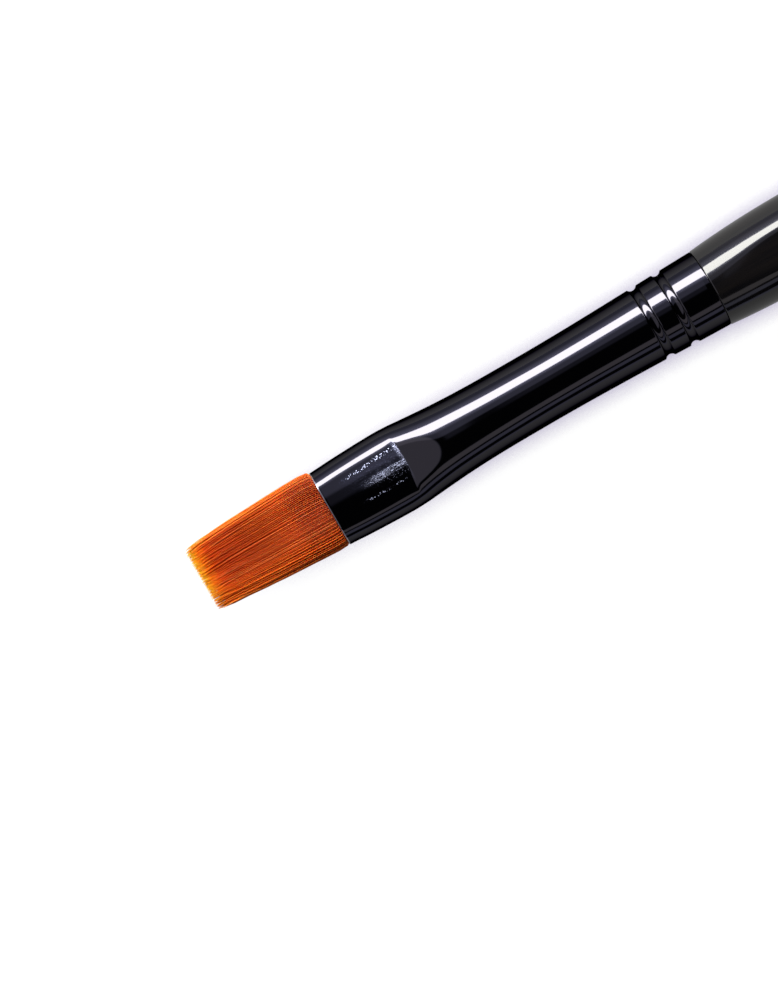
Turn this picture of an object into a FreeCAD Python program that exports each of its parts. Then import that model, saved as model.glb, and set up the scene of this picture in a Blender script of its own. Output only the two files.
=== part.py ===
"""Flat artist brush: a nylon filament tuft glued into a pressed metal ferrule, crimped on a turned handle.

Drawn with the ferrule's mouth at X = 0, the tuft towards -X, the handle towards +X and the brush's axis on
Z = 0. The finished sub-parts are then placed in the brush's own frame: lying on Z = 0, flat side up, with the
middle of its length at X = 0. Lengths are in millimetres.
"""
import FreeCAD
import Part
import os

import Sketcher
from FreeCAD import Placement, Rotation, Vector

doc = FreeCAD.newDocument("FlatBrush")

# ---------------------------------------------------------------- driving dimensions
SIZES = {
    # ferrule, a thin tapered tube: its outline from the mouth back to where it's truly round
    "wall": 0.25,
    "mouth_at": 0.0,
    "mouth_half_width": 4.10,
    "mouth_half_height": 2.60,
    "flare_at": 3.6,
    "flare_half_width": 4.28,
    "flare_half_height": 2.64,
    "knuckle_at": 7.4,
    "knuckle_half_width": 4.39,
    "knuckle_half_height": 2.72,
    "crest_at": 10.0,
    "crest_half_width": 4.25,
    "crest_half_height": 2.84,
    "throat_at": 12.8,
    "throat_half_width": 4.02,
    "throat_half_height": 3.02,
    "waist_at": 16.0,
    "waist_half_width": 3.84,
    "waist_half_height": 3.28,
    "easing_at": 20.0,
    "easing_half_width": 3.75,
    "easing_half_height": 3.58,
    "neck_at": 24.0,
    "neck_radius": 3.735,
    "rear_at": 44.0,
    "rear_radius": 4.17,
    # what the flattening jaws leave: two flats from the mouth to the crease, then a ramp on each side
    "flat_start_height": 2.30,
    "crease_at": 8.9,
    "crease_height": 2.40,
    "ramp_end_at": 14.5,
    "ramp_end_height": 3.35,
    # two rolled crimps that bite the ferrule into the handle's tenon
    "crimp_first_at": 37.2,
    "crimp_second_at": 40.0,
    "crimp_round": 0.60,
    "crimp_depth": 0.30,
    # handle
    "tenon_at": 26.0,
    "tenon_clearance": 0.03,
    "shoulder_radius": 4.20,
    "grip_start": 54.0,
    "grip_end": 84.0,
    "grip_radius": 4.70,
    "grip_flat_height": 4.40,
    "tail_start": 144.0,
    "tail_at": 166.0,
    "tail_radius": 2.50,
    # filaments inside the ferrule: flat at the mouth, bound round further in
    "root_start": 0.10,
    "root_half_width": 3.76,
    "root_half_height": 1.97,
    "root_flat_end": 8.4,
    "root_round_at": 13.0,
    "root_radius": 2.42,
    "root_end": 17.4,
    # thread that binds the roots and resin that locks them
    "thread_at": 13.7,
    "thread_radius": 0.13,
    "thread_pitch": 0.32,
    "thread_length": 1.28,
    "plug_start": 15.6,
    "plug_end": 20.6,
    "fit_gap": 0.03,
    # the exposed tuft, outside the mouth; its root is rounded about the line it flexes on
    "flex_at": -2.1,
    "flex_radius": 1.86,
    "tuft_start_at": 0.0,
    "tuft_start_half_width": 4.02,
    "tuft_start_half_height": 1.90,
    "belly_at": -2.0,
    "belly_half_width": 4.22,
    "belly_half_height": 1.95,
    "shank_at": -8.0,
    "shank_half_width": 3.98,
    "shank_half_height": 1.58,
    "taper_at": -12.0,
    "taper_half_width": 3.68,
    "taper_half_height": 1.08,
    "corner_at": -14.0,
    "corner_half_width": 3.32,
    "corner_half_height": 0.68,
    "tip_at": -14.7,
    "tip_half_width": 2.98,
    "tip_half_height": 0.50,
    "lean": 0.20,
}
DERIVED = {
    "slope": "(rear_radius - neck_radius) / (rear_at - neck_at)",
    "crimp_first_radius": "neck_radius + slope * (crimp_first_at - neck_at)",
    "crimp_second_radius": "neck_radius + slope * (crimp_second_at - neck_at)",
    "tenon_front_radius": "neck_radius + slope * (tenon_at - neck_at) - wall - tenon_clearance",
    "tenon_rear_radius": "rear_radius - wall - tenon_clearance",
    "shoulder_at": "rear_at + tenon_clearance",
    "tail_round_at": "tail_at - tail_radius",
    "thread_wrap_radius": "root_radius + fit_gap + thread_radius",
    "to_middle": "0 - (tail_at + tip_at) / 2",
    "on_axis": "0",
    "jaw_front": "mouth_at - 1",
    "jaw_top": "9",
}
sheet = doc.addObject("Spreadsheet::Sheet", "Sizes")
cells = [(alias, str(number)) for alias, number in SIZES.items()]
cells += [(alias, f"={formula}") for alias, formula in DERIVED.items()]
for row, (alias, content) in enumerate(cells, start=1):
    sheet.set(f"A{row}", alias)
    sheet.set(f"B{row}", content)
    sheet.setAlias(f"B{row}", alias)
doc.recompute()

REACH = 9.0  # how far a cutting tool reaches to each side of the axis
ALONG_X = Rotation(Vector(0, 1, 0), 90)  # turns a shape drawn along Z so that it lies along X
ALONG_Y = Rotation(Vector(1, 0, 0), -90)  # turns a shape drawn along Z so that it lies along Y
SQUARE_TO_X = Rotation(Vector(0, 1, 0), Vector(0, 0, 1), Vector(1, 0, 0), "ZXY")  # a flat ring's turn
NO_INSET = "0"
INSIDE_WALL = "Sizes.wall"
FIT_INSIDE_WALL = "Sizes.wall + Sizes.fit_gap"


# ---------------------------------------------------------------- building blocks
def bind(thing, **formulas):
    """Binds an object's properties to formulas; a double underscore in a name stands for a dot."""
    for name, formula in formulas.items():
        thing.setExpression(name.replace("__", "."), formula)
    return thing


def oval(name, station, inset=NO_INSET, side="0"):
    """An ellipse square to X at a station of the sheet, drawn in by inset and moved sideways by side."""
    ring = doc.addObject("Part::Ellipse", name)
    ring.Placement = Placement(Vector(), SQUARE_TO_X)
    return bind(
        ring,
        MajorRadius=f"Sizes.{station}_half_width - ({inset})",
        MinorRadius=f"Sizes.{station}_half_height - ({inset})",
        Placement__Base__x=f"Sizes.{station}_at",
        Placement__Base__y=side,
    )


def disc(name, at, radius):
    """A circle square to X."""
    ring = doc.addObject("Part::Circle", name)
    ring.Placement = Placement(Vector(), SQUARE_TO_X)
    return bind(ring, Radius=radius, Placement__Base__x=at)


def loft(name, rings, ruled=False):
    body = doc.addObject("Part::Loft", name)
    body.Sections = rings
    body.Solid = True
    body.Ruled = ruled
    return body


def slab(name, start, end):
    """A box across the whole brush from start to end along X."""
    body = doc.addObject("Part::Box", name)
    body.Placement = Placement(Vector(0, -REACH, -REACH), Rotation())
    body.Width = 2 * REACH
    body.Height = 2 * REACH
    return bind(body, Length=f"{end} - ({start})", Placement__Base__x=start)


def joined(name, kind, shapes):
    """Several shapes as one: kind is Fuse or Common."""
    body = doc.addObject(f"Part::Multi{kind}", name)
    body.Shapes = shapes
    return body


def cut(name, base, tool):
    body = doc.addObject("Part::Cut", name)
    body.Base = base
    body.Tool = tool
    return body


def side_outline(body, name, corners, arcs=()):
    """A closed sketch on the body's XZ plane through corners, which are pairs of sheet aliases.

    arcs holds (side, coordinate, alias) for each side that is an arc: the coordinate, X or Y, of its centre.
    """
    plane = next(f for f in body.Origin.OriginFeatures if f.Role == "XZ_Plane")
    sketch = body.newObject("Sketcher::SketchObject", name)
    sketch.AttachmentSupport = [(plane, "")]
    sketch.MapMode = "FlatFace"
    points = [Vector(getattr(sheet, along), getattr(sheet, up), 0) for along, up in corners]
    curved = {side: (coordinate, alias) for side, coordinate, alias in arcs}
    ends = []
    for side, start in enumerate(points):
        end = points[(side + 1) % len(points)]
        if side in curved:
            coordinate, alias = curved[side]
            centre = arc_centre(start, end, coordinate, getattr(sheet, alias))
            # an arc runs anticlockwise, so over the top of the outline it runs from the far corner back
            circle = Part.Circle(centre, Vector(0, 0, 1), centre.distanceToPoint(start))
            first, last = circle.parameter(end), circle.parameter(start)
            sketch.addGeometry(Part.ArcOfCircle(circle, first, last))
            ends.append((2, 1))
        else:
            sketch.addGeometry(Part.LineSegment(start, end))
            ends.append((1, 2))
    for side in range(len(points)):
        after = (side + 1) % len(points)
        sketch.addConstraint(Sketcher.Constraint("Coincident", side, ends[side][1], after, ends[after][0]))
    for side, (along, up) in enumerate(corners):
        hold(sketch, "X", side, ends[side][0], along)
        hold(sketch, "Y", side, ends[side][0], up)
    for side, coordinate, alias in arcs:
        hold(sketch, coordinate, side, 3, alias)
    return sketch


def arc_centre(start, end, coordinate, known):
    """The centre, on the line that splits start and end evenly, whose X or Y is known."""
    middle = (start + end) / 2
    chord = end - start
    if coordinate == "X":
        return Vector(known, middle.y - (known - middle.x) * chord.x / chord.y, 0)
    return Vector(middle.x - (known - middle.y) * chord.y / chord.x, known, 0)


def hold(sketch, coordinate, side, point, alias):
    """Fixes one coordinate of a sketch point to a sheet alias."""
    number = getattr(sheet, alias)
    index = sketch.addConstraint(Sketcher.Constraint(f"Distance{coordinate}", -1, 1, side, point, number))
    sketch.setExpression(f"Constraints[{index}]", f"Sizes.{alias}")


# ---------------------------------------------------------------- ferrule
STATIONS = ("mouth", "flare", "knuckle", "crest", "throat", "waist", "easing")


def jaw(name, inset):
    """One flattening jaw above the brush. It comes down further by inset for what's inside the wall."""
    body = doc.addObject("PartDesign::Body", name)
    corners = (
        ("jaw_front", "flat_start_height"),
        ("mouth_at", "flat_start_height"),
        ("crease_at", "crease_height"),
        ("ramp_end_at", "ramp_end_height"),
        ("ramp_end_at", "jaw_top"),
        ("jaw_front", "jaw_top"),
    )
    pad = body.newObject("PartDesign::Pad", f"{name}_pad")
    pad.Profile = side_outline(body, f"{name}_outline", corners)
    pad.Midplane = True
    pad.Length = 2 * REACH
    body.Tip = pad
    return bind(body, Placement__Base__z=f"0 - ({inset})")


def crimp(name, which, inset):
    """The ring that a crimping roller presses in; it reaches further in by inset."""
    ring = doc.addObject("Part::Torus", name)
    ring.Placement = Placement(Vector(), ALONG_X)
    return bind(
        ring,
        Radius1=f"Sizes.crimp_{which}_radius - Sizes.crimp_depth + Sizes.crimp_round",
        Radius2=f"Sizes.crimp_round + {inset}",
        Placement__Base__x=f"Sizes.crimp_{which}_at",
    )


def crimps(name, inset):
    rings = [crimp(f"{name}_{which}", which, inset) for which in ("first", "second")]
    return joined(name, "Fuse", rings)


def pressed_nose(name, inset):
    """The flattened front of the tube, as a solid drawn in by inset."""
    rings = [oval(f"{name}_{station}", station, inset) for station in STATIONS]
    rings.append(disc(f"{name}_neck", "Sizes.neck_at", f"Sizes.neck_radius - ({inset})"))
    upper = jaw(f"{name}_upper_jaw", inset)
    lower = doc.addObject("Part::Mirroring", f"{name}_lower_jaw")
    lower.Source = upper
    lower.Normal = Vector(0, 0, 1)
    jaws = joined(f"{name}_jaws", "Fuse", [upper, lower])
    return cut(name, loft(f"{name}_blank", rings), jaws)


def crimped_barrel(name, inset):
    """The round, slightly flared rear of the tube, as a solid drawn in by inset."""
    barrel = doc.addObject("Part::Cone", f"{name}_blank")
    barrel.Placement = Placement(Vector(), ALONG_X)
    bind(
        barrel,
        Radius1=f"Sizes.neck_radius - ({inset})",
        Radius2=f"Sizes.rear_radius - ({inset})",
        Height="Sizes.rear_at - Sizes.neck_at",
        Placement__Base__x="Sizes.neck_at",
    )
    return cut(name, barrel, crimps(f"{name}_crimps", inset))


def make_ferrule():
    walls = {}
    for name, inset in (("outside", NO_INSET), ("inside", INSIDE_WALL)):
        nose = pressed_nose(f"{name}_nose", inset)
        barrel = crimped_barrel(f"{name}_barrel", inset)
        walls[name] = joined(name, "Fuse", [nose, barrel])
    return cut("ferrule", walls["outside"], walls["inside"])


# ---------------------------------------------------------------- handle
def make_handle():
    """Turned wood: a tenon inside the ferrule, a swelling grip, a long taper and a straight round tail.

    The grip has a shallow flat above and below, in line with the ferrule's, so that the brush doesn't roll.
    """
    body = doc.addObject("PartDesign::Body", "turned_handle")
    corners = (
        ("tenon_at", "on_axis"),
        ("tenon_at", "tenon_front_radius"),
        ("shoulder_at", "tenon_rear_radius"),
        ("shoulder_at", "shoulder_radius"),
        ("grip_start", "grip_radius"),
        ("grip_end", "grip_radius"),
        ("tail_start", "tail_radius"),
        ("tail_round_at", "tail_radius"),
        ("tail_at", "on_axis"),
    )
    # each long arc is level where it meets the grip, and the tail ends in a ball
    arcs = ((3, "X", "grip_start"), (5, "X", "grip_end"), (7, "Y", "on_axis"))
    turning = body.newObject("PartDesign::Revolution", "turning")
    turning.Profile = side_outline(body, "turning_outline", corners, arcs)
    turning.ReferenceAxis = (turning.Profile[0], ["H_Axis"])
    turning.Angle = 360
    body.Tip = turning
    between = slab("between_flats", "Sizes.tenon_at - 1", "Sizes.tail_at + 1")
    bind(between, Height="2 * Sizes.grip_flat_height", Placement__Base__z="0 - Sizes.grip_flat_height")
    planed = joined("planed_handle", "Common", [body, between])
    return cut("handle", planed, crimps("tenon_grooves", FIT_INSIDE_WALL))


# ---------------------------------------------------------------- filaments, thread and resin
def make_root():
    """The filament bundle inside the ferrule."""
    start, flat_end = (doc.addObject("Part::Ellipse", f"root_{name}") for name in ("start", "flat_end"))
    for ring, at in ((start, "root_start"), (flat_end, "root_flat_end")):
        ring.Placement = Placement(Vector(), SQUARE_TO_X)
        bind(
            ring,
            MajorRadius="Sizes.root_half_width",
            MinorRadius="Sizes.root_half_height",
            Placement__Base__x=f"Sizes.{at}",
        )
    round_start = disc("root_round_start", "Sizes.root_round_at", "Sizes.root_radius")
    end = disc("root_cut_end", "Sizes.root_end", "Sizes.root_radius")
    return loft("bristle_root", [start, flat_end, round_start, end], ruled=True)


def make_thread():
    """Turns of thread wound round the bound end of the filaments."""
    winding = doc.addObject("Part::Helix", "winding")
    winding.Placement = Placement(Vector(), ALONG_X)
    bind(
        winding,
        Radius="Sizes.thread_wrap_radius",
        Pitch="Sizes.thread_pitch",
        Height="Sizes.thread_length",
        Placement__Base__x="Sizes.thread_at",
    )
    section = doc.addObject("Part::Circle", "thread_section")
    section.Placement = Placement(Vector(), ALONG_Y)
    bind(
        section,
        Radius="Sizes.thread_radius",
        Placement__Base__x="Sizes.thread_at",
        Placement__Base__z="0 - Sizes.thread_wrap_radius",
    )
    thread = doc.addObject("Part::Sweep", "binding_thread")
    thread.Sections = [section]
    thread.Spine = (winding, ["Edge1"])
    thread.Solid = True
    thread.Frenet = True
    return thread


def make_plug():
    """Resin set behind the thread: it fills the ferrule round the filaments' cut ends."""
    fill = joined(
        "plug_fill",
        "Common",
        [
            pressed_nose("plug_space", FIT_INSIDE_WALL),
            slab("plug_reach", "Sizes.plug_start", "Sizes.plug_end"),
        ],
    )
    socket = doc.addObject("Part::Cylinder", "plug_socket")
    socket.Placement = Placement(Vector(), ALONG_X)
    bind(
        socket,
        Radius="Sizes.root_radius + Sizes.fit_gap",
        Height="Sizes.root_end + Sizes.fit_gap - Sizes.root_round_at",
        Placement__Base__x="Sizes.root_round_at",
    )
    return cut("epoxy_plug", fill, socket)


def make_tuft():
    """The exposed filaments as one soft solid; the root end is a barrel round the line it flexes on."""
    leans = {
        "tuft_start": "0",
        "belly": "Sizes.lean * 0.5",
        "shank": "Sizes.lean",
        "taper": "Sizes.lean * 1.4",
        "corner": "Sizes.lean * 1.2",
        "tip": "Sizes.lean",
    }
    rings = [oval(f"tuft_{station}", station, side=side) for station, side in leans.items()]
    brush = loft("tuft_blank", rings)
    barrel = doc.addObject("Part::Cylinder", "tuft_barrel")
    barrel.Placement = Placement(Vector(0, -REACH, 0), ALONG_Y)
    barrel.Height = 2 * REACH
    bind(barrel, Radius="Sizes.flex_radius", Placement__Base__x="Sizes.flex_at")
    ahead = slab("tuft_ahead", "Sizes.tip_at", "Sizes.flex_at")
    return joined("bristle_tuft", "Common", [brush, joined("tuft_bounds", "Fuse", [barrel, ahead])])


# ---------------------------------------------------------------- assemble, check, write
def place(part):
    """Moves a finished sub-part from the drawing's frame to the brush's own frame."""
    part.Label = part.Name
    return bind(part, Placement__Base__x="Sizes.to_middle", Placement__Base__z="Sizes.grip_flat_height")


def check(parts):
    for thing in doc.Objects:
        if {"Invalid", "Error"} & set(thing.State):
            raise RuntimeError(f"{thing.Name} did not build: {thing.State}")
    for part in parts:
        if part.Shape.isNull() or not part.Shape.isValid() or len(part.Shape.Solids) != 1:
            raise RuntimeError(f"{part.Name} is not one valid solid")
    for whole, opened in (
        ("outside", "ferrule"),
        ("turned_handle", "planed_handle"),
        ("planed_handle", "handle"),
        ("plug_fill", "epoxy_plug"),
    ):
        if doc.getObject(opened).Shape.Volume >= doc.getObject(whole).Shape.Volume:
            raise RuntimeError(f"{opened} lost nothing to its cut")


parts = [place(make()) for make in (make_ferrule, make_handle, make_root, make_thread, make_plug, make_tuft)]
doc.recompute()
check(parts)
os.makedirs("parts", exist_ok=True)
for part in parts:
    part.Shape.exportStep(f"parts/{part.Label}.step")
    box = part.Shape.optimalBoundingBox()
    print(
        f"{part.Label:15s} {part.Shape.Volume:8.1f} mm3   X {box.XMin:7.2f} {box.XMax:7.2f}"
        f"   Y {box.YMin:6.2f} {box.YMax:6.2f}   Z {box.ZMin:6.2f} {box.ZMax:6.2f}"
    )
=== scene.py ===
"""Looks of the flat artist brush: nylon filaments, a black nickel ferrule and a lacquered handle.

Sizes are in millimetres, and MM turns them to metres. "Along" is counted from the ferrule's mouth, "across"
from the middle of the flat and "up" from the brush's axis.
"""
import math

import bmesh
import bpy
import numpy as np
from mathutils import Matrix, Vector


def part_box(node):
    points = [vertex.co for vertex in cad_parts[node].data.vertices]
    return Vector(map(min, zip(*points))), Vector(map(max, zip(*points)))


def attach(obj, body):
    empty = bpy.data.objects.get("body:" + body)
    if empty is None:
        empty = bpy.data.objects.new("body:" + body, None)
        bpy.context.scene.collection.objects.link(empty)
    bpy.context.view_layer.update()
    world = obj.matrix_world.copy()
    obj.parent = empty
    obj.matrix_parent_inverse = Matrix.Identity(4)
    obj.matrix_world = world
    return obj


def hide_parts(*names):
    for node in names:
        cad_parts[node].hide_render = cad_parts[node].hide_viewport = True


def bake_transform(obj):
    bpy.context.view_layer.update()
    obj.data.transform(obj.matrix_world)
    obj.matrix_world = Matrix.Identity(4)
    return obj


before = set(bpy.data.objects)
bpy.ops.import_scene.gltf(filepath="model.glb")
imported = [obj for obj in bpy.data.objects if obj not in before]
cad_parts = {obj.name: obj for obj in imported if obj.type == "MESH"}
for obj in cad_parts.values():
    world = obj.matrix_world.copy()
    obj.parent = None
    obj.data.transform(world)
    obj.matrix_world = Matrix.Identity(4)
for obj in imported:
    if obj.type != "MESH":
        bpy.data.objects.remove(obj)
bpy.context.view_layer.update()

# ---------------------------------------------------------------- where things are
MM = 0.001
ferrule_low, ferrule_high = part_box("ferrule")
handle_low, handle_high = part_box("handle")
tuft_low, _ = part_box("bristle_tuft")
TIP_X = tuft_low.x
MOUTH_X = ferrule_low.x
REAR_X = ferrule_high.x
TAIL_X = handle_high.x
AXIS_Z = (handle_low.z + handle_high.z) / 2
BRUSH_BODY = "brush_body"
SEAM = 1e-7  # points of a mesh that lie closer than this, in metres, are joined


# ---------------------------------------------------------------- node trees
class Number:
    """A number inside a node tree, so that a formula can be written as one."""

    def __init__(self, graph, socket):
        self.graph = graph
        self.socket = socket

    def _with(self, operation, other):
        return self.graph.math(operation, self, other)

    def __add__(self, other):
        return self._with("ADD", other)

    def __radd__(self, other):
        return self.graph.math("ADD", other, self)

    def __sub__(self, other):
        return self._with("SUBTRACT", other)

    def __rsub__(self, other):
        return self.graph.math("SUBTRACT", other, self)

    def __mul__(self, other):
        return self._with("MULTIPLY", other)

    def __rmul__(self, other):
        return self.graph.math("MULTIPLY", other, self)

    def __truediv__(self, other):
        return self._with("DIVIDE", other)

    def __rtruediv__(self, other):
        return self.graph.math("DIVIDE", other, self)

    def __pow__(self, other):
        return self._with("POWER", other)

    def __neg__(self):
        return self._with("MULTIPLY", -1.0)


# a Mix node has a set of sockets for each kind of value, and these are the colours'
MIX_COLOUR_INPUTS = (6, 7)
MIX_COLOUR_OUTPUT = 2


class Graph:
    """A node tree under construction."""

    def __init__(self, tree):
        self.tree = tree

    def add(self, kind, settings=None, **inputs):
        """A new node. Inputs are named in lower case, with an underscore for a space."""
        node = self.tree.nodes.new(kind)
        for name, value in (settings or {}).items():
            setattr(node, name, value)
        for name, value in inputs.items():
            self.feed(node, name, value)
        return node

    def feed(self, node, name, value):
        """Gives a node's input, by its name, a plain value or the end of a link."""
        wanted = name.replace("_", " ").lower()
        socket = next(s for s in node.inputs if s.name.lower() == wanted and s.enabled)
        self.put(value, socket)

    def put(self, value, socket):
        if isinstance(value, Number):
            value = value.socket
        if isinstance(value, bpy.types.NodeSocket):
            self.tree.links.new(value, socket)
        else:
            socket.default_value = value

    def out(self, node, name=None):
        """A node's output by its name, or its first one."""
        enabled = [s for s in node.outputs if s.enabled]
        if name is None:
            return Number(self, enabled[0])
        return Number(self, next(s for s in enabled if s.name == name))

    def math(self, operation, first, second=None, clamp=False):
        node = self.add("ShaderNodeMath", {"operation": operation, "use_clamp": clamp})
        for value, socket in zip((first, second), node.inputs):
            if value is not None:
                self.put(value, socket)
        return self.out(node)

    def smooth(self, value, low, high):
        """0 below low, 1 above high, and a smooth rise between them."""
        node = self.add("ShaderNodeMapRange", {"interpolation_type": "SMOOTHSTEP"})
        for number, name in ((value, "Value"), (low, "From Min"), (high, "From Max")):
            self.feed(node, name, number)
        return self.out(node, "Result")

    def xyz(self, x, y, z):
        node = self.add("ShaderNodeCombineXYZ")
        for value, socket in zip((x, y, z), node.inputs):
            self.put(value, socket)
        return self.out(node)

    def split(self, vector):
        node = self.add("ShaderNodeSeparateXYZ")
        self.put(vector, node.inputs[0])
        return [Number(self, s) for s in node.outputs]

    def object_place(self):
        """The point's own place, which is its place on the brush, as every piece sits at the origin."""
        return self.add("ShaderNodeTexCoord").outputs["Object"]

    def curve(self, value, points, reach, peak):
        """A smooth curve through points, given as (place, height), for a value from 0 to reach."""
        node = self.add("ShaderNodeFloatCurve")
        line = node.mapping.curves[0]
        for i, (place, height) in enumerate(points):
            if i < 2:
                line.points[i].location = (place / reach, height / peak)
            else:
                line.points.new(place / reach, height / peak)
        node.mapping.update()
        self.feed(node, "Value", value / reach)
        return self.out(node) * peak

    def pick(self, chosen, first, second):
        """first where chosen is 0 and second where it's 1."""
        return first + (second - first) * chosen

    def ramp(self, value, stops):
        """A colour ramp: stops are (place, linear colour)."""
        node = self.add("ShaderNodeValToRGB", fac=value)
        line = node.color_ramp.elements
        while len(line) < len(stops):
            line.new(0.5)
        for stop, (place, colour) in zip(line, stops):
            stop.position = place
            stop.color = (*colour, 1.0)
        return self.out(node, "Color")

    def blend(self, share, first, second):
        """The colour that is first at share 0 and second at share 1."""
        node = self.add("ShaderNodeMix", {"data_type": "RGBA"})
        self.put(share, node.inputs[0])
        for value, number in zip((first, second), MIX_COLOUR_INPUTS):
            if isinstance(value, tuple):
                value = (*value, 1.0)
            self.put(value, node.inputs[number])
        return Number(self, node.outputs[MIX_COLOUR_OUTPUT])

    def noise(self, vector, scale, detail=2.0, roughness=0.5):
        node = self.add("ShaderNodeTexNoise", vector=vector, scale=scale, detail=detail, roughness=roughness)
        return self.out(node)


def group(name, kind, inputs, outputs):
    """An empty node group with named sockets. Returns its graph, its inputs by name and its output node."""
    tree = bpy.data.node_groups.new(name, kind)
    for label, socket_kind, value in inputs:
        socket = tree.interface.new_socket(label, in_out="INPUT", socket_type=socket_kind)
        if value is not None:
            socket.default_value = value
    for label, socket_kind in outputs:
        tree.interface.new_socket(label, in_out="OUTPUT", socket_type=socket_kind)
    graph = Graph(tree)
    source = graph.add("NodeGroupInput")
    given = {label: graph.out(source, label) for label, _, _ in inputs}
    return graph, given, graph.add("NodeGroupOutput")


FLOAT = "NodeSocketFloat"
GEOMETRY = "NodeSocketGeometry"


# ---------------------------------------------------------------- shared surface effects
SPECKLESS = 0.7  # the share of cells that hold no speck


def make_grain_group():
    """Fine marks drawn out along the brush: a mask from 0 to 1."""
    g, given, end = group(
        "drawn_out_marks", "ShaderNodeTree",
        [("Fineness", FLOAT, 8.0), ("Stretch", FLOAT, 12.0), ("Cover", FLOAT, 0.5), ("Edge", FLOAT, 0.1)],
        [("Mask", FLOAT)],
    )
    x, y, z = g.split(g.object_place())
    millimetres = 1.0 / MM
    place = g.xyz(x * millimetres / given["Stretch"], y * millimetres, z * millimetres)
    marks = g.noise(place, given["Fineness"], detail=3.0, roughness=0.6)
    threshold = 0.75 - given["Cover"] * 0.5
    g.put(g.smooth(marks, threshold - given["Edge"], threshold + given["Edge"]), end.inputs[0])
    return g.tree


def make_specks_group():
    """Sparse small specks, one in a cell at most: a mask from 0 to 1."""
    g, given, end = group(
        "specks", "ShaderNodeTree",
        [("Spacing mm", FLOAT, 0.6), ("Size", FLOAT, 0.12)],
        [("Mask", FLOAT)],
    )
    cells = g.add("ShaderNodeTexVoronoi", vector=g.object_place(), scale=1.0 / MM / given["Spacing mm"])
    luck = g.split(cells.outputs["Color"])[0]
    speck = 1.0 - g.smooth(g.out(cells, "Distance"), given["Size"] * 0.5, given["Size"])
    g.put(speck * g.smooth(luck, SPECKLESS, SPECKLESS + 0.02), end.inputs[0])
    return g.tree


GRAIN = make_grain_group()
SPECKS = make_specks_group()


def grain(g, fineness, stretch, cover, edge):
    """Drawn-out marks: how many to a mm, their length for their width, their share and their softness."""
    node = g.add(
        "ShaderNodeGroup", {"node_tree": GRAIN},
        fineness=fineness, stretch=stretch, cover=cover, edge=edge,
    )
    return g.out(node)


def specks(g, spacing, size):
    """Specks: the width of a cell in mm, and the speck's radius as a share of it."""
    node = g.add("ShaderNodeGroup", {"node_tree": SPECKS}, spacing_mm=spacing, size=size)
    return g.out(node)


def material(name):
    """A material with one Principled shader. Returns it, its graph and the shader node."""
    made = bpy.data.materials.new(name)
    made.use_nodes = True
    g = Graph(made.node_tree)
    shader = next(n for n in g.tree.nodes if n.type == "BSDF_PRINCIPLED")
    return made, g, shader


def bump(g, shader, height, distance, strength=1.0):
    """Gives the shader a relief: height is a share of distance, which is in metres."""
    node = g.add("ShaderNodeBump", strength=strength, distance=distance, height=height)
    g.feed(shader, "Normal", g.out(node))


# ---------------------------------------------------------------- finishes
# linear colours
# the third is a painted highlight for the ferrule's rolled lip
NICKEL, RUBBED_NICKEL, PAINTED_LIP_HIGHLIGHT = (0.058, 0.056, 0.063), (0.42, 0.45, 0.60), (0.72, 0.70, 0.74)
LACQUER, LACQUER_VEIN, DUST = (0.0016, 0.0016, 0.0020), (0.0036, 0.0030, 0.0028), (0.02, 0.02, 0.02)
# painted light: the first brightens the tuft's lower side and the second its edges, as of light shining
# through the nylon
PAINTED_UNDERGLOW, PAINTED_RIM_GLOW = (0.60, 0.10, 0.008), (0.78, 0.19, 0.022)
PALE_FILAMENT, DEEP_FILAMENT = (0.70, 0.20, 0.05), (0.13, 0.012, 0.002)
THREAD_SHADE, THREAD_LIGHT = (0.50, 0.46, 0.38), (0.70, 0.67, 0.60)
RESIN_DEEP, RESIN_CLEAR = (0.30, 0.17, 0.04), (0.42, 0.27, 0.08)
# the nylon's colour from the mouth, at 0, to the tip, at 1
NYLON_STOPS = (
    (0.0, (0.19, 0.025, 0.006)),
    (0.10, (0.28, 0.035, 0.005)),
    (0.30, (0.235, 0.028, 0.003)),
    (0.55, (0.212, 0.021, 0.002)),
    (0.80, (0.245, 0.021, 0.002)),
    (0.89, (0.36, 0.032, 0.002)),
    (0.945, (0.60, 0.095, 0.003)),
    (1.0, (0.80, 0.33, 0.012)),
)
FLAT_HALF_WIDTH = 2.8
LANES_END = 9.0


def lane(g, place, middle, half, start, full, marks):
    """Marks within a strip of the flat, with soft sides, that fade in from start to full along the brush."""
    along, across = place
    aside = g.math("ABSOLUTE", across - middle)
    sides = 1.0 - g.smooth(aside, half * 0.3, half)
    return sides * g.smooth(along, start, full) * (1.0 - g.smooth(along, LANES_END, LANES_END + 0.1)) * marks


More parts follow.
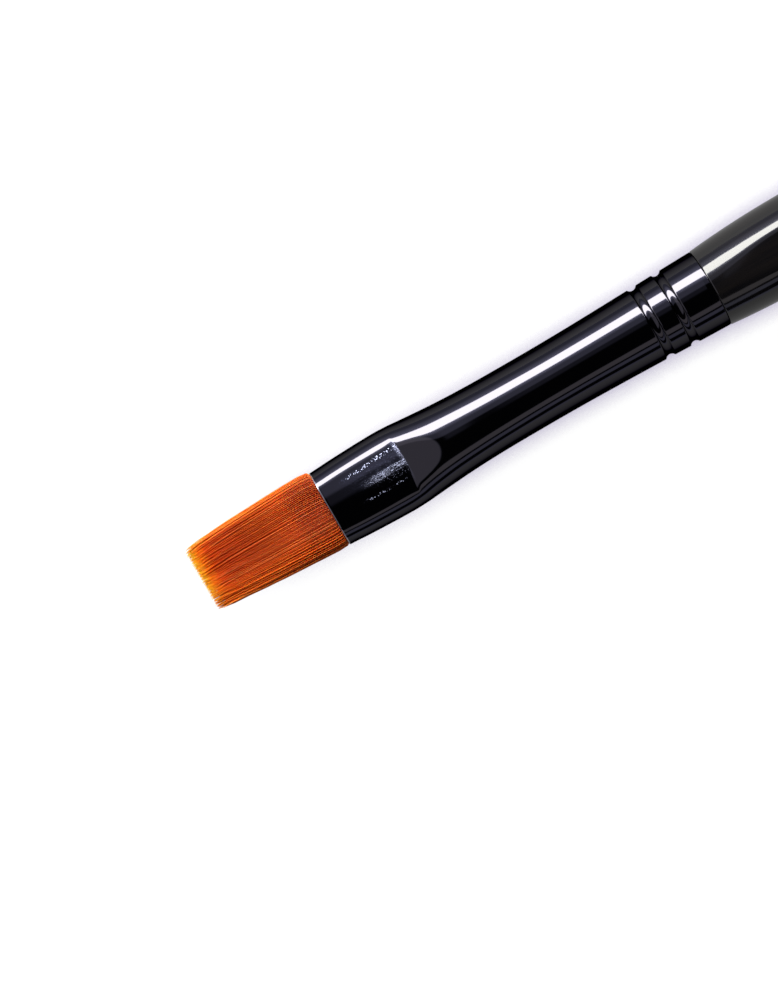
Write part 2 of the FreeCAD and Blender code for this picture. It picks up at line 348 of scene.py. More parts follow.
def black_nickel():
    """Bright black nickel plate, where the pressing jaws left rub marks and a matt crease on each flat, with
    a painted highlight along the rolled lip at the mouth.
    """
    made, g, shader = material("black_nickel_plate")
    x, y, z = g.split(g.object_place())
    along = (x - MOUTH_X) / MM
    across = y / MM
    sideways = g.math("ABSOLUTE", across)

    # the marks themselves, and the lanes that hold them: middle, half width, start, full
    dots = grain(g, 12.0, 1.3, 0.40, 0.05)
    hairs = grain(g, 5.5, 7.0, 0.62, 0.16)
    pricks = g.math("MAXIMUM", specks(g, 0.13, 0.50), specks(g, 0.17, 0.46))
    place = (along, across)
    upper = lane(g, place, along * 0.075 + 1.53, 0.30, 1.8, 4.0, pricks + dots * 0.20)
    broad = lane(g, place, 0.70, 1.45, 1.0, 6.0, hairs * 0.10 + dots * 0.08 + pricks * 0.22)
    middle = lane(g, place, 0.30, 0.64, 2.6, 6.2, hairs * 0.50 + dots * 0.50 + pricks * 0.62)
    under = lane(g, place, -0.45, 0.45, 4.0, 7.0, dots * 0.15 + pricks * 0.50)
    lower = lane(g, place, -1.22, 0.21, 3.0, 4.0, pricks * 1.5 + dots * 0.3)
    lower = lower * (1.0 - g.smooth(along, 8.1, 8.5))

    # the crease bows, so it and the flat's end are measured along the bow
    bow = along + across * across * CREASE_BOW
    crease = g.smooth(bow, CREASE - 0.62, CREASE - 0.22) * g.smooth(across, -2.2, 2.0)
    crease = crease * (1.0 - g.smooth(across, 2.0, FLAT_HALF_WIDTH) * 0.75)
    broken = 0.20 + grain(g, 10.0, 1.1, 0.50, 0.10) * 0.55
    flat = 1.0 - g.smooth(sideways, FLAT_HALF_WIDTH - 0.2, FLAT_HALF_WIDTH)
    flat = flat * (1.0 - g.smooth(bow, CREASE - 0.05, CREASE + 0.05))
    worn = g.math("MAXIMUM", upper + broad + under, middle + lower)
    worn = flat * g.math("MAXIMUM", worn, crease * broken, clamp=True)
    # painted highlight: a pale band along the lip at the mouth, brighter towards the sides, standing in for
    # its reflection
    lip = (1.0 - g.smooth(along, 0.06, 0.16)) * (0.30 + g.smooth(sideways, 1.8, 3.9) * 0.70)

    g.feed(shader, "Base Color", g.blend(lip, g.blend(worn, NICKEL, RUBBED_NICKEL), PAINTED_LIP_HIGHLIGHT))
    brushed = grain(g, 22.0, 30.0, 0.5, 0.3)
    g.feed(shader, "Roughness", 0.06 + worn * 0.42 + brushed * 0.02 + lip * 0.25)
    shader.inputs["Metallic"].default_value = 1.0
    shader.inputs["Specular Tint"].default_value = (0.03, 0.03, 0.04, 1.0)
    ripple = g.noise(g.xyz(along * 0.25, across, z / MM), 0.8, detail=1.0)
    bump(g, shader, worn * 0.002 + ripple * 0.012, MM, 0.35)
    return made


def black_lacquer():
    """Deep gloss black lacquer over wood, with the faint ripple of a dipped coat and a few dust nibs."""
    made, g, shader = material("black_lacquer")
    where = g.object_place()
    veins = grain(g, 1.6, 26.0, 0.55, 0.3)
    nibs = specks(g, 2.6, 0.09)
    g.feed(shader, "Base Color", g.blend(nibs, g.blend(veins, LACQUER, LACQUER_VEIN), DUST))
    cloud = g.noise(where, 160.0, detail=3.0)
    g.feed(shader, "Roughness", 0.07 + cloud * 0.05)
    shader.inputs["Coat Weight"].default_value = 0.25
    shader.inputs["Coat Roughness"].default_value = 0.03
    peel = g.noise(where, 420.0, detail=1.0)
    bump(g, shader, veins * 0.006 + peel * 0.012 + nibs * 0.03, MM, 0.5)
    return made


def nylon():
    """Burnt orange nylon: deep in the mass and paler where each filament thins, with painted light besides: a
    glow at the tuft's edges and a brighter lower side, as of light shining through the nylon.
    """
    made, g, shader = material("orange_nylon")
    reach, tone, rim, underlit = (
        Number(g, g.add("ShaderNodeAttribute", {"attribute_name": name}).outputs["Fac"])
        for name in ("reach", "tone", "rim", "underlit")
    )
    base = g.ramp(reach + rim * 0.035, NYLON_STOPS)
    # painted light: the tuft's lower side is made brighter amber, as if lit through from below
    base = g.blend(underlit * (0.50 + reach * 0.38), base, PAINTED_UNDERGLOW)
    # painted light: the tuft's outer edges are painted paler amber, here and by the small rim share in the
    # ramp above, as of light shining through its thin edges
    base = g.blend(rim * (0.22 + reach * 0.55), base, PAINTED_RIM_GLOW)
    base = g.blend(g.smooth(tone, 0.75, 1.0) * 0.16, base, PALE_FILAMENT)
    base = g.blend((1.0 - g.smooth(tone, 0.0, 0.4)) * 0.40, base, DEEP_FILAMENT)
    g.feed(shader, "Base Color", base)
    drawn = grain(g, 30.0, 20.0, 0.5, 0.3)
    g.feed(shader, "Roughness", 0.30 + drawn * 0.14)
    shader.inputs["IOR"].default_value = 1.53
    shader.inputs["Specular IOR Level"].default_value = 0.04
    shader.inputs["Subsurface Weight"].default_value = 0.5
    shader.inputs["Subsurface Radius"].default_value = (1.0, 0.35, 0.10)
    shader.inputs["Subsurface Scale"].default_value = 0.15 * MM
    return made


def polyester():
    """Matt undyed thread, with the light and shade of its twist."""
    made, g, shader = material("polyester_thread")
    twist = grain(g, 10.0, 0.4, 0.5, 0.2)
    g.feed(shader, "Base Color", g.blend(twist, THREAD_SHADE, THREAD_LIGHT))
    shader.inputs["Roughness"].default_value = 0.75
    bump(g, shader, twist * 0.05, MM)
    return made


def resin():
    """Cloudy amber resin."""
    made, g, shader = material("amber_resin")
    cloud = grain(g, 1.2, 1.0, 0.5, 0.3)
    g.feed(shader, "Base Color", g.blend(cloud, RESIN_DEEP, RESIN_CLEAR))
    g.feed(shader, "Roughness", 0.15 + cloud * 0.1)
    return made


# ---------------------------------------------------------------- ferrule
def eased(table, at):
    """Values read from a table of (place, value) by a smooth curve that never overshoots."""
    places, values = (np.array(column, float) for column in zip(*table))
    steps = np.diff(places)
    slopes = np.diff(values) / steps
    tangents = np.concatenate([[slopes[0]], np.zeros(len(slopes) - 1), [slopes[-1]]])
    for i in range(1, len(slopes)):
        if slopes[i - 1] * slopes[i] > 0:
            tangents[i] = 2 * slopes[i - 1] * slopes[i] / (slopes[i - 1] + slopes[i])
    i = np.clip(np.searchsorted(places, at) - 1, 0, len(steps) - 1)
    t = (at - places[i]) / steps[i]
    rise = t * t * (3 - 2 * t)
    return (
        values[i] * (1 - rise) + values[i + 1] * rise
        + steps[i] * (t * (1 - t) ** 2 * tangents[i] - t * t * (1 - t) * tangents[i + 1])
    )


def soft_ramp(x, width):
    """Rises from 0 at slope 1, with the corner rounded over width."""
    return 0.5 * (x + np.sqrt(x * x + width * width))


REAR = (REAR_X - MOUTH_X) / MM
NECK, NECK_RADIUS, REAR_RADIUS = 24.0, 3.735, 4.17
# the tube before it is pressed: (place along it, half its width) and (place, half its height)
HALF_WIDTHS = (
    (0, 4.10), (1, 4.15), (2, 4.215), (4, 4.30), (6, 4.365), (7.4, 4.39), (9, 4.335), (10, 4.25),
    (12, 4.085), (14, 3.94), (16, 3.84), (18, 3.78), (20, 3.75), (NECK, NECK_RADIUS), (REAR, REAR_RADIUS),
)
HALF_HEIGHTS = (
    (0, 2.60), (3.6, 2.64), (7.4, 2.67), (9, 2.80), (10, 2.99), (11, 3.16), (12.8, 3.33), (16, 3.42),
    (20, 3.59), (NECK, NECK_RADIUS), (REAR, REAR_RADIUS),
)
# each flat: its height at the mouth, its rise to the mm, and how it falls to the sides
FLAT_START, FLAT_RISE, FLAT_CROWN = 2.377, 0.0125, 0.048
# the crease at the flat's end: its place, its bow to the sides and how gently it turns
CREASE, CREASE_BOW, CREASE_ROUND = 9.05, 0.02, 0.2
RAMP_SLOPE, RAMP_CROWN = 0.238, 0.026
FLAT_SHARPNESS = 60.0  # how crisply a flat meets the round
CRIMPS, CRIMP_DEPTH, CRIMP_ROUND = (37.2, 40.0), 0.30, 0.60
WALL, REAR_ROUND = 0.25, 0.07
FERRULE_SIDES, LIP_RINGS, REAR_ROUND_RINGS = 168, 9, 5
# (from, to, step): rings lie close together at the lip, the crease and the crimps
FERRULE_RINGS = (
    (0.30, 7.8, 0.20), (7.8, 10.4, 0.07), (10.4, 15.0, 0.16), (15.0, 36.3, 0.5), (36.3, 41.0, 0.06),
    (41.0, REAR - 0.2, 0.4),
)


def pressed_height(along, across):
    """The height that the jaws leave: a slightly crowned flat, then a flatter ramp behind a bowed crease."""
    behind = along - (CREASE - CREASE_BOW * across ** 2)
    share = np.clip(behind / 0.5 + 0.5, 0.0, 1.0)
    share = share * share * (3.0 - 2.0 * share)
    crown = FLAT_CROWN + (RAMP_CROWN - FLAT_CROWN) * share
    ramp = (RAMP_SLOPE - FLAT_RISE) * soft_ramp(behind, CREASE_ROUND)
    return FLAT_START + FLAT_RISE * along + ramp - crown * across ** 2


def ferrule_ring(along, angles, inset=0.0):
    """Points (across, up) round the tube at one place along it, inset from its outside."""
    wide = eased(HALF_WIDTHS, along) - inset
    high = eased(HALF_HEIGHTS, along) - inset
    groove = 0.0
    for crimp in CRIMPS:
        away = abs(along - crimp)
        reach = CRIMP_ROUND + inset
        if away < reach:
            groove = max(groove, math.sqrt(reach ** 2 - away ** 2) - (CRIMP_ROUND - CRIMP_DEPTH))
    drawn_in = max(groove - inset, 0.0)
    wide, high = wide - drawn_in, high - drawn_in
    c, s = np.cos(angles), np.sin(angles)
    tube = 1.0 / np.sqrt((c / wide) ** 2 + (s / high) ** 2)
    across = tube * c
    pressed = (pressed_height(along, across) - inset) / np.maximum(np.abs(s), 1e-4)
    shape = tube * (1.0 + (tube / pressed) ** FLAT_SHARPNESS) ** (-1.0 / FLAT_SHARPNESS)
    return shape * c, shape * s


def ferrule_places():
    """Where the rings go."""
    return [place for span in FERRULE_RINGS for place in np.arange(*span)]


def skin(rings):
    """Points and quads through rings of equal length, of which the last joins the first."""
    count = len(rings[0])
    quads = []
    for i in range(len(rings)):
        here, there = i * count, (i + 1) % len(rings) * count
        for j in range(count):
            k = (j + 1) % count
            quads.append((here + j, here + k, there + k, there + j))
    return np.concatenate(rings), quads


def add_piece(name, points, faces, finish):
    """A mesh object. Its points are (along, across, up) in mm."""
    mesh = bpy.data.meshes.new(name)
    placed = np.array(points, float) * MM + np.array((MOUTH_X, 0.0, AXIS_Z))
    mesh.from_pydata(placed.tolist(), [], faces)
    mesh.validate()
    return finish_piece(name, mesh, finish)


def finish_piece(name, mesh, finish):
    """Closes the mesh's seams, turns its faces outwards and makes it a smooth piece of one material."""
    shape = bmesh.new()
    shape.from_mesh(mesh)
    bmesh.ops.remove_doubles(shape, verts=shape.verts, dist=SEAM)
    bmesh.ops.recalc_face_normals(shape, faces=shape.faces)
    shape.to_mesh(mesh)
    shape.free()
    mesh.shade_smooth()
    mesh.materials.clear()
    mesh.materials.append(finish)
    piece = bpy.data.objects.new(name, mesh)
    bpy.context.scene.collection.objects.link(piece)
    return piece


def make_ferrule(finish):
    """One closed skin: a rolled lip at the mouth, the outside, a plain rear edge and the inside."""
    angles = np.linspace(0.0, 2 * math.pi, FERRULE_SIDES, endpoint=False)
    rings = []

    def ring(along, inset):
        across, up = ferrule_ring(along, angles, inset)
        rings.append(np.column_stack((np.full(len(angles), along), across, up)))

    lip_round = WALL / 2
    for turn in np.linspace(math.pi, 0.0, LIP_RINGS):
        ring(lip_round * (1.0 - math.sin(turn)), lip_round * (1.0 - math.cos(turn)))
    for along in ferrule_places():
        ring(along, 0.0)
    for turn in np.linspace(0.0, math.pi / 2, REAR_ROUND_RINGS):
        ring(REAR - REAR_ROUND * (1.0 - math.sin(turn)), REAR_ROUND * (1.0 - math.cos(turn)))
    ring(REAR, WALL)
    for along in reversed(ferrule_places()[::3]):
        ring(along, WALL)
    points, faces = skin(rings)
    piece = add_piece("ferrule_shell", points, faces, finish)
    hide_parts("ferrule")
    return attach(piece, BRUSH_BODY)


# ---------------------------------------------------------------- handle
TENON, TENON_GAP = 26.0, 0.03
SHOULDER = REAR + TENON_GAP
SHOULDER_RADIUS, GRIP_RADIUS, TAIL_RADIUS = 4.20, 4.70, 2.50
GRIP_START, GRIP_END, TAIL_START = 54.0, 84.0, 144.0
GRIP_FLAT = AXIS_Z / MM  # the brush lies on the lower of the grip's two flats
TAIL = (TAIL_X - MOUTH_X) / MM
EDGE_ROUND = 0.12
POLE_RADIUS = 0.004  # the last ring never shrinks to a point
HANDLE_SIDES, TENON_RINGS, BODY_RINGS = 128, 150, 240


def tenon_radius(g, given, along):
    """The spigot that fills the ferrule, drawn in under each crimp."""
    slope = (REAR_RADIUS - NECK_RADIUS) / (REAR - NECK)
    tube = NECK_RADIUS + (along - NECK) * slope
    radius = tube - WALL - given["Fit"]
    for crimp in CRIMPS:
        away = along - crimp
        reach = CRIMP_ROUND + WALL + TENON_GAP
        bite = g.math("SQRT", g.math("MAXIMUM", reach ** 2 - away * away, 0.0))
        radius = g.math("MINIMUM", radius, tube + (CRIMP_ROUND - CRIMP_DEPTH) - bite)
    return radius


def quarter_round(g, radius, into):
    """How high a rounded end of this radius still stands, so far into it."""
    return g.math("SQRT", g.math("MAXIMUM", radius * radius - into * into, 0.0))


def turned_radius(g, given, along):
    """The handle outside the ferrule: a shoulder, a swelling, a straight grip, a long taper, a round tail."""
    before = g.math("MAXIMUM", given["Grip Start"] - along, 0.0) / (GRIP_START - SHOULDER)
    after = g.math("MAXIMUM", along - given["Grip End"], 0.0) / (TAIL_START - GRIP_END)
    after = g.math("MINIMUM", after, 1.0)
    radius = given["Grip Radius"] - (given["Grip Radius"] - SHOULDER_RADIUS) * before * before
    radius = radius - (given["Grip Radius"] - given["Tail Radius"]) * after * after
    into_ball = g.math("MAXIMUM", along - (given["Tail"] - given["Tail Radius"]), 0.0)
    radius = radius - given["Tail Radius"] + quarter_round(g, given["Tail Radius"], into_ball)
    into_edge = g.math("MAXIMUM", given["Edge"] - (along - SHOULDER), 0.0)
    radius = radius - given["Edge"] + quarter_round(g, given["Edge"], into_edge)
    return g.math("MAXIMUM", radius, POLE_RADIUS)


def turned_tree(finish):
    """Geometry nodes that turn the handle: rings along X, each with the radius that its rule gives."""
    g, given, end = group(
        "turned_handle", "GeometryNodeTree",
        [
            ("Grip Radius", FLOAT, GRIP_RADIUS), ("Grip Start", FLOAT, GRIP_START),
            ("Grip End", FLOAT, GRIP_END), ("Tail", FLOAT, TAIL), ("Tail Radius", FLOAT, TAIL_RADIUS),
            ("Fit", FLOAT, TENON_GAP), ("Edge", FLOAT, EDGE_ROUND), ("Flat Height", FLOAT, GRIP_FLAT),
            ("Flat Sharpness", FLOAT, FLAT_SHARPNESS),
        ],
        [("Geometry", GEOMETRY)],
    )
    last = TENON_RINGS + BODY_RINGS
    rod = g.add("GeometryNodeMeshCylinder", vertices=HANDLE_SIDES, side_segments=last, radius=1.0, depth=2.0)
    side, up, height = g.split(g.add("GeometryNodeInputPosition").outputs[0])
    ring = g.math("ROUND", (height * 0.5 + 0.5) * float(last))
    on_body = g.math("GREATER_THAN", ring, TENON_RINGS - 0.5)
    share = (ring - float(TENON_RINGS)) / float(BODY_RINGS)
    # rings lie closer together towards both ends, where the edge and the round tail are
    spread = 0.5 - g.math("COSINE", share * math.pi) * 0.5
    on_tenon = TENON + ring * ((SHOULDER - TENON) / (TENON_RINGS - 1))
    along = g.pick(on_body, on_tenon, SHOULDER + (given["Tail"] - SHOULDER) * spread)
    radius = g.pick(on_body, tenon_radius(g, given, along), turned_radius(g, given, along))
    raised = up * radius
    sharpness = given["Flat Sharpness"]
    over = g.math("ABSOLUTE", raised) / given["Flat Height"]
    planed = raised / g.math("POWER", 1.0 + g.math("POWER", over, sharpness), 1.0 / sharpness)
    place = g.xyz(MOUTH_X + along * MM, side * radius * MM, AXIS_Z + planed * MM)
    turned = g.add("GeometryNodeSetPosition", geometry=rod.outputs["Mesh"], position=place)
    finished = g.add("GeometryNodeSetMaterial", geometry=turned.outputs[0], material=finish)
    whole = g.add("GeometryNodeRealizeInstances", geometry=finished.outputs[0])
    g.put(whole.outputs[0], end.inputs[0])
    return g.tree


def grown(name, tree, sizes, finish):
    """Runs a tree once with these sizes and keeps what it makes as a plain mesh piece."""
    holder = bpy.data.objects.new(f"{name}_maker", bpy.data.meshes.new(f"{name}_maker"))
    bpy.context.scene.collection.objects.link(holder)
    maker = holder.modifiers.new("maker", "NODES")
    maker.node_group = tree
    for socket in tree.interface.items_tree:
        if socket.in_out == "INPUT" and socket.name in sizes:
            maker[socket.identifier] = sizes[socket.name]
    evaluated = holder.evaluated_get(bpy.context.evaluated_depsgraph_get())
    mesh = bpy.data.meshes.new_from_object(evaluated)
    bpy.data.objects.remove(holder)
    mesh.name = name
    return finish_piece(name, mesh, finish)


def make_handle(finish):
    """The handle, from its tenon inside the ferrule to its tail."""
    sizes = {"Grip Radius": GRIP_RADIUS, "Grip Start": GRIP_START, "Grip End": GRIP_END, "Edge": EDGE_ROUND}
    piece = grown("turned_handle", turned_tree(finish), sizes, finish)
    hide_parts("handle")
    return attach(piece, BRUSH_BODY)


# ---------------------------------------------------------------- tuft
INSIDE = 0.4  # how far each filament starts inside the mouth
RAGGED_ROOM = 0.20  # the longest filaments reach about this much past the rest
TUFT_LENGTH = round((MOUTH_X - TIP_X) / MM - RAGGED_ROOM, 2)
FILAMENTS, FILAMENT_RADIUS, SEED = 2100, 0.062, 11
# the tuft from the start of its filaments: (place, half width), then half its height and its drift sideways
TUFT_SPAN = 15.2
TUFT_WIDTHS = (
    (0, 3.78), (0.40, 3.90), (0.62, 4.15), (1.0, 4.21), (2.4, 4.21), (4.4, 4.13), (6.4, 4.04),
    (8.4, 3.93), (10.4, 3.80), (12.4, 3.63), (TUFT_SPAN, 3.40),
)
TUFT_HEIGHTS = (
    (0, 1.98), (0.9, 2.05), (2.4, 2.04), (5.6, 1.80), (8.6, 1.54), (11.6, 1.16), (13.6, 0.78),
    (TUFT_SPAN, 0.46),
)
TUFT_DRIFT = ((0, 0.0), (0.4, 0.03), (0.62, 0.10), (2.4, 0.15), (8.4, 0.22), (12.4, 0.30), (TUFT_SPAN, 0.20))
# points along a filament lie closer together at the mouth, where the tuft swells, and at the tip
FILAMENT_POINTS = 11
SPACING = (
    (0, 0), (0.10, 0.027), (0.20, 0.043), (0.30, 0.11), (0.50, 0.38), (0.70, 0.67), (0.86, 0.87), (1.0, 1.0),
)
GOLDEN_ANGLE = math.pi * (3.0 - math.sqrt(5.0))
CORNER_POWER = 2.7  # 2 seats the filaments in an oval, more squares it off
CORNER_START = 0.88  # the outer filaments, from this share of the half width, are shorter
STRAYS = 0.985  # the luckier filaments above this stray from the rest


def chance(g, seed, low=0.0, high=1.0):
    """A random number for each filament."""
    return g.out(g.add("FunctionNodeRandomValue", {"data_type": "FLOAT"}, min=low, max=high, seed=seed))


def keep(g, geometry, name, value, kind="FLOAT"):
    """The geometry with a value for each of its points, to be read by its name further on."""
    node = g.add("GeometryNodeStoreNamedAttribute", {"data_type": kind, "domain": "POINT"}, geometry=geometry)
    g.feed(node, "Name", name)
    g.feed(node, "Value", value)
    return node.outputs[0]


def kept(g, name, kind="FLOAT"):
    """A value that was kept for each point."""
    return g.out(g.add("GeometryNodeInputNamedAttribute", {"data_type": kind}, name=name))


def filament_tree(finish):
    """Geometry nodes that grow the tuft: a seat for each filament, then its path, then its section."""
    g, given, end = group(
        "nylon_tuft", "GeometryNodeTree",
        [
            ("Filaments", "NodeSocketInt", FILAMENTS), ("Filament Radius", FLOAT, FILAMENT_RADIUS),
            ("Length", FLOAT, TUFT_LENGTH), ("Ragged", FLOAT, 0.27), ("Splay", FLOAT, 0.14),
            ("Clump Width", FLOAT, 0.31), ("Clumping", FLOAT, 0.46), ("Corner Drop", FLOAT, 0.35),
            ("Seed", "NodeSocketInt", SEED),
        ],
        [("Geometry", GEOMETRY)],
    )
    # seats: a sunflower pattern squared off towards the four corners of the flat mouth
    number = g.out(g.add("GeometryNodeInputIndex"))
    out_from_middle = g.math("SQRT", (number + 0.5) / given["Filaments"])
    turn = number * GOLDEN_ANGLE
    c, s = g.math("COSINE", turn), g.math("SINE", turn)
    reach = g.math("POWER", g.math("ABSOLUTE", c), CORNER_POWER)
    reach = reach + g.math("POWER", g.math("ABSOLUTE", s), CORNER_POWER)
    squared = out_from_middle / g.math("POWER", reach, 1.0 / CORNER_POWER)
    points = g.add("GeometryNodePoints", count=given["Filaments"])
    seats = keep(g, points.outputs[0], "seat", g.xyz(c * squared, s * squared, 0.0), "FLOAT_VECTOR")
    habits = g.xyz(
        chance(g, given["Seed"], -1.0, 1.0),
        chance(g, given["Seed"] + 1.0, -1.0, 1.0),
        chance(g, given["Seed"] + 2.0),
    )
    seats = keep(g, seats, "habit", habits, "FLOAT_VECTOR")
    seats = keep(g, seats, "tone", chance(g, given["Seed"] + 3.0))

    line = g.add("GeometryNodeCurvePrimitiveLine", start=(0, 0, 0), end=(1, 0, 0))
    fine = g.add("GeometryNodeResampleCurve", curve=line.outputs[0], count=FILAMENT_POINTS)
    grown_on = g.add("GeometryNodeInstanceOnPoints", points=seats, instance=fine.outputs[0])
    strands = g.add("GeometryNodeRealizeInstances", geometry=grown_on.outputs[0]).outputs[0]

    # the path: how far along each point is, and where the tuft's outline puts it there
    share = g.curve(g.out(g.add("GeometryNodeSplineParameter"), "Factor"), SPACING, 1.0, 1.0)
    side, up, _ = g.split(kept(g, "seat", "FLOAT_VECTOR"))
    wander, lift, luck = g.split(kept(g, "habit", "FLOAT_VECTOR"))
    edge = g.math("MAXIMUM", g.math("ABSOLUTE", side) - CORNER_START, 0.0) / (1.0 - CORNER_START)
    short = given["Corner Drop"] * edge * edge
    stray = g.math("GREATER_THAN", luck, STRAYS)
    ragged = given["Ragged"]
    length = given["Length"] - short + wander * lift * ragged - luck ** 4.0 * ragged + stray * 0.25
    along = share * (length + INSIDE) - INSIDE
    from_start = along + INSIDE
    wide = g.curve(from_start, TUFT_WIDTHS, TUFT_SPAN, 5.0)
    high = g.curve(from_start, TUFT_HEIGHTS, TUFT_SPAN, 2.5)
    drift = g.curve(from_start, TUFT_DRIFT, TUFT_SPAN, 0.5)
    # the looser end wanders and waves a little
    loose = from_start / (TUFT_LENGTH + INSIDE)
    across = side * wide + drift + wander * given["Splay"] * loose * loose * (1.0 + stray * 2.5)
    across = across + g.math("SINE", along * 0.55 + luck * 20.0) * 0.03 * loose
    # the tips draw together into small clumps
    shift = lift * 0.25
    middle = (g.math("ROUND", across / given["Clump Width"] + shift) - shift) * given["Clump Width"]
    pull = g.smooth(along, 9.5, 14.6) * given["Clumping"] * (1.0 - stray)
    across = across + (middle - across) * pull
    above = up * high + lift * 0.05 * loose * (1.0 + stray * 3.0)
    above = above + g.math("COSINE", along * 0.5 + luck * 33.0) * 0.02 * loose
    place = g.xyz(MOUTH_X - along * MM, across * MM, AXIS_Z + above * MM)
    shaped = g.add("GeometryNodeSetPosition", geometry=strands, position=place).outputs[0]
    shaped = keep(g, shaped, "reach", g.math("MAXIMUM", along, 0.0) / TUFT_LENGTH)
    taper = 1.0 - g.smooth(along, 9.0, 14.8) * 0.55
    point = 1.0 - g.math("POWER", share, 24.0) * 0.75
    shaped = keep(g, shaped, "girth", taper * point * (0.9 + luck * 0.2))
    # painted light: where the tuft's edges are painted paler
    shaped = keep(g, shaped, "rim", g.smooth(g.math("ABSOLUTE", side), 0.80, 1.0))
    # painted light: where the tuft's lower side is painted brighter
    shaped = keep(g, shaped, "underlit", g.smooth(-side, 0.30, 0.95))

    # the section: four sides are round enough for a filament this thin
    section = g.add(
        "GeometryNodeCurvePrimitiveCircle", {"mode": "RADIUS"},
        resolution=4, radius=given["Filament Radius"] * MM,
    )
    tubes = g.add(
        "GeometryNodeCurveToMesh",
        curve=shaped, profile_curve=section.outputs[0], scale=kept(g, "girth"), fill_caps=True,
    ).outputs[0]
    for name in ("seat", "habit", "girth"):
        tubes = g.add("GeometryNodeRemoveAttribute", geometry=tubes, name=name).outputs[0]
    finished = g.add("GeometryNodeSetMaterial", geometry=tubes, material=finish)
    whole = g.add("GeometryNodeRealizeInstances", geometry=finished.outputs[0])
    g.put(whole.outputs[0], end.inputs[0])
    return g.tree


def make_tuft(finish):
    """The filaments, which start just inside the ferrule's mouth, made once as a plain mesh."""
    sizes = {"Filaments": FILAMENTS, "Length": TUFT_LENGTH, "Seed": SEED}
    piece = grown("filaments", filament_tree(finish), sizes, finish)
    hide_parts("bristle_tuft")
    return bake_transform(piece)


# ---------------------------------------------------------------- table, light and camera
TABLE_HALF = 1.2  # metres
TABLE_WHITE, TABLE_GLOW = 1.0, 0.30  # as the camera sees it, and as it lights the brush
TABLE_GREYS = ((0.018, 0.018, 0.018), (0.024, 0.024, 0.024))
CLOSE_SHADE, OPEN_WHITE = (0.45, 0.41, 0.57), (1.0, 1.0, 1.0)
SHADE_REACH = 5.0
STRIP_LIGHT = 17.5
COOL, WARM, ROSE = (0.74, 0.75, 1.02), (1.0, 0.99, 0.95), (1.0, 0.93, 0.98)
CAMERA_AIM, CAMERA_HEIGHT, CAMERA_TURN = (5.62, -2.20), 0.5, -30.14  # mm, metres, degrees


def make_table():
    """A pale lit table that the brush lies on: nearly white, with a faint lavender shade beside the brush."""
    made, g, shader = material("lit_table")
    mottle = g.noise(g.object_place(), 30.0)
    g.feed(shader, "Base Color", g.blend(mottle, *TABLE_GREYS))
    shader.inputs["Roughness"].default_value = 0.9
    occlusion = g.add("ShaderNodeAmbientOcclusion", {"samples": 8}, distance=SHADE_REACH * MM)
    open_sky = g.smooth(g.out(occlusion, "AO"), 0.44, 0.71)
    g.feed(shader, "Emission Color", g.blend(open_sky, CLOSE_SHADE, OPEN_WHITE))
    seen = g.out(g.add("ShaderNodeLightPath"), "Is Camera Ray")
    g.feed(shader, "Emission Strength", TABLE_GLOW + seen * (TABLE_WHITE - TABLE_GLOW))
    mesh = bpy.data.meshes.new("table")
    corners = [(x * TABLE_HALF, y * TABLE_HALF, 0) for x, y in ((-1, -1), (1, -1), (1, 1), (-1, 1))]
    mesh.from_pydata(corners, [], [(0, 1, 2, 3)])
    mesh.materials.append(made)
    table = bpy.data.objects.new("table", mesh)
    bpy.context.scene.collection.objects.link(table)


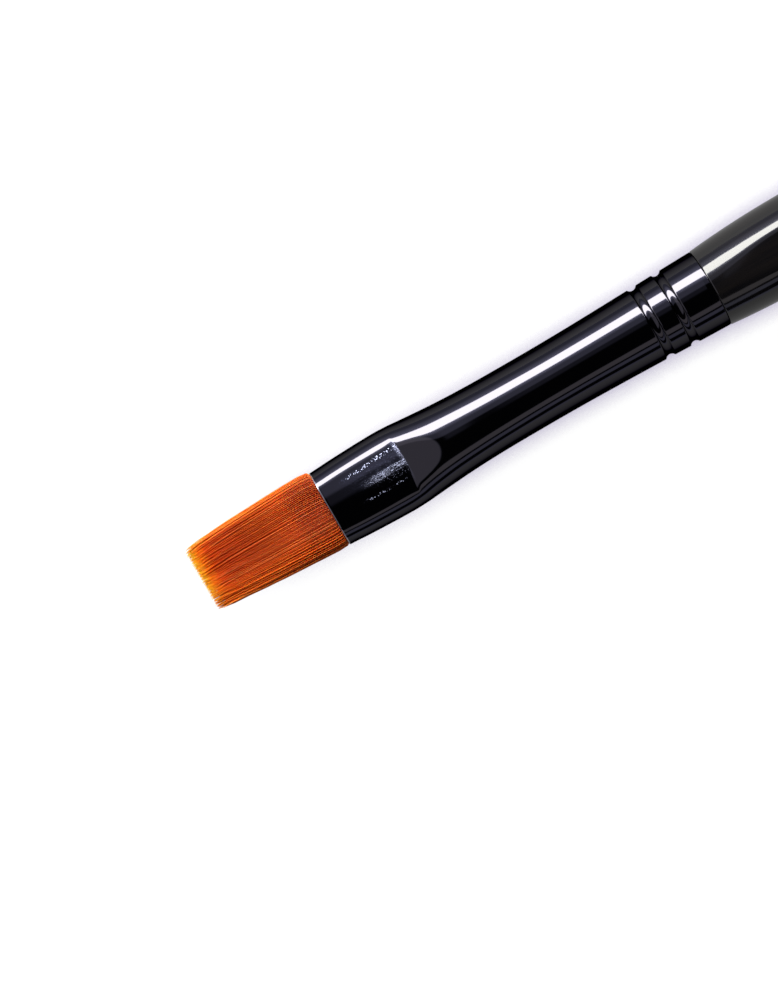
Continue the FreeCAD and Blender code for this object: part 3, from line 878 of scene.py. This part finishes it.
def make_studio():
    """Soft light by direction: a long bright strip high on the +Y side, a dark ceiling and grey walls."""
    world = bpy.data.worlds.new("studio")
    bpy.context.scene.world = world
    world.use_nodes = True
    g = Graph(world.node_tree)
    x, y, z = g.split(g.add("ShaderNodeTexCoord").outputs["Generated"])
    tilt = g.math("ARCTAN2", y, z) * math.degrees(1.0)  # from straight up towards +Y
    sideways = g.math("ABSOLUTE", x)
    ahead = 1.0 - g.smooth(sideways, 0.80, 0.95)

    def band(start, full, end, gone):
        """Light between two tilts, in degrees, with a soft edge on each side."""
        return g.smooth(tilt, start, full) * (1.0 - g.smooth(tilt, end, gone))

    strip = band(37.5, 39.5, 60.5, 63.0) * ahead
    fade = g.smooth(tilt, 13.0, 17.0) * 0.42 + g.smooth(tilt, 26.0, 40.0) * 1.6
    fade = fade * (1.0 - g.smooth(tilt, 38.0, 40.5)) * ahead
    spill = band(58.0, 62.0, 64.0, 82.0)
    near_wall = band(68.0, 78.0, 96.0, 116.0)
    far_line = band(-59.0, -57.5, -46.0, -43.5)
    far_wall = band(-75.0, -72.5, -65.0, -62.5) + (1.0 - g.smooth(tilt, -87.0, -84.0))
    veil = band(-1.0, 6.0, 22.0, 34.0) * (1.0 - g.smooth(sideways, 0.035, 0.065))
    front = g.smooth(-x, 0.19, 0.27) * band(-32.0, -24.0, 30.0, 38.0)
    light = strip * STRIP_LIGHT + fade + spill * 1.5 + near_wall * 0.42
    light = light + far_line * 0.50 + far_wall * 0.52 + front * 0.50 + veil * 0.14 + 0.01
    colour = g.blend(strip, COOL, WARM)
    colour = g.blend(g.math("MAXIMUM", far_line, front * 0.6), colour, ROSE)
    backdrop = next(n for n in g.tree.nodes if n.type == "BACKGROUND")
    g.feed(backdrop, "Color", colour)
    g.feed(backdrop, "Strength", light)


def make_camera():
    """Straight down on the flat, turned so that the brush lies at 30 degrees across the view."""
    camera = bpy.data.cameras.new("camera")
    camera.lens = 180.0
    camera.sensor_width = 36.0
    camera.clip_start = 0.01
    along, across = CAMERA_AIM
    stand = bpy.data.objects.new("camera", camera)
    stand.location = (MOUTH_X + along * MM, across * MM, AXIS_Z + CAMERA_HEIGHT)
    stand.rotation_euler = (0.0, 0.0, math.radians(CAMERA_TURN))
    bpy.context.scene.collection.objects.link(stand)
    bpy.context.scene.camera = stand
    bpy.context.scene.view_settings.view_transform = "Standard"


# ---------------------------------------------------------------- the whole brush
nylon_finish = nylon()
make_ferrule(black_nickel())
make_handle(black_lacquer())
make_tuft(nylon_finish)
inner_finishes = {"bristle_root": nylon_finish, "binding_thread": polyester(), "epoxy_plug": resin()}
for node, finish in inner_finishes.items():
    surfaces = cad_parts[node].data.materials
    surfaces.clear()
    surfaces.append(finish)
make_table()
make_studio()
make_camera()
